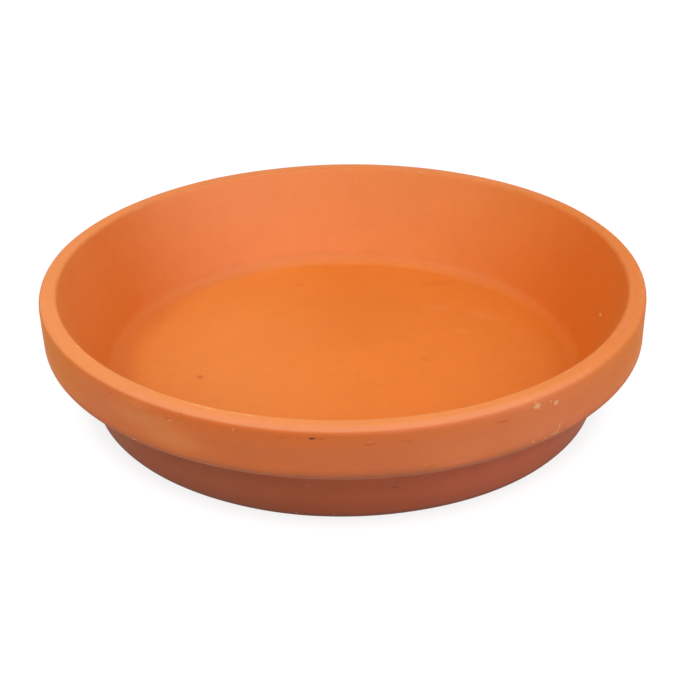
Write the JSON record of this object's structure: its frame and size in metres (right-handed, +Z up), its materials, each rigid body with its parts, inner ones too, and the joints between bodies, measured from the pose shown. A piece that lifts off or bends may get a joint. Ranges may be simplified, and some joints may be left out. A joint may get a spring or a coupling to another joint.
{
  "type": "plant saucer",
  "caption": "Round open dish of unglazed red clay with a thick collar round the top, a tapered wall below it and a flat well inside that holds a flower pot and catches its water.",
  "frame": {"origin": "centre of the foot's underside, on the surface that the saucer stands on", "axes": "+Z up along the axis that the clay was turned on; the saucer is round, so X and Y are any two level directions"},
  "size_m": [0.25, 0.25, 0.05],
  "materials": {
    "terracotta": "unglazed fired red clay, matt, with faint turning lines, small pits and a few pale lime specks"
  },
  "bodies": {
    "root": {"saucer": "terracotta"}
  },
  "joints": []
}
